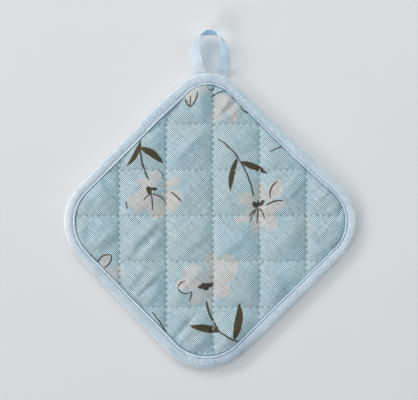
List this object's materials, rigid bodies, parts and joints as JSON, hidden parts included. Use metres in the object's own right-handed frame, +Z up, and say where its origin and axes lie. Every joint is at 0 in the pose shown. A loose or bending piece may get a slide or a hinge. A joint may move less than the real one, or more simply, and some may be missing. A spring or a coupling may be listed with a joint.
{
  "type": "pot mat",
  "caption": "Quilted cotton pot mat: a rounded square lying corner up, with a taped edge, a sewn grid of padded cells and a hanging loop.",
  "frame": {"origin": "on the surface that the mat lies on, under the middle of its whole size, loop included", "axes": "+Z up out of the printed face, +Y from the mat towards its hanging loop, quilting lines along X and Y"},
  "size_m": [0.235, 0.2728, 0.0091],
  "materials": {
    "printed_cotton": "woven cotton, matt",
    "blue_tape": "folded cotton tape, matt"
  },
  "bodies": {
    "root": {"quilted_pad": "printed_cotton", "binding": "blue_tape", "hanging_loop": "blue_tape"}
  },
  "joints": []
}
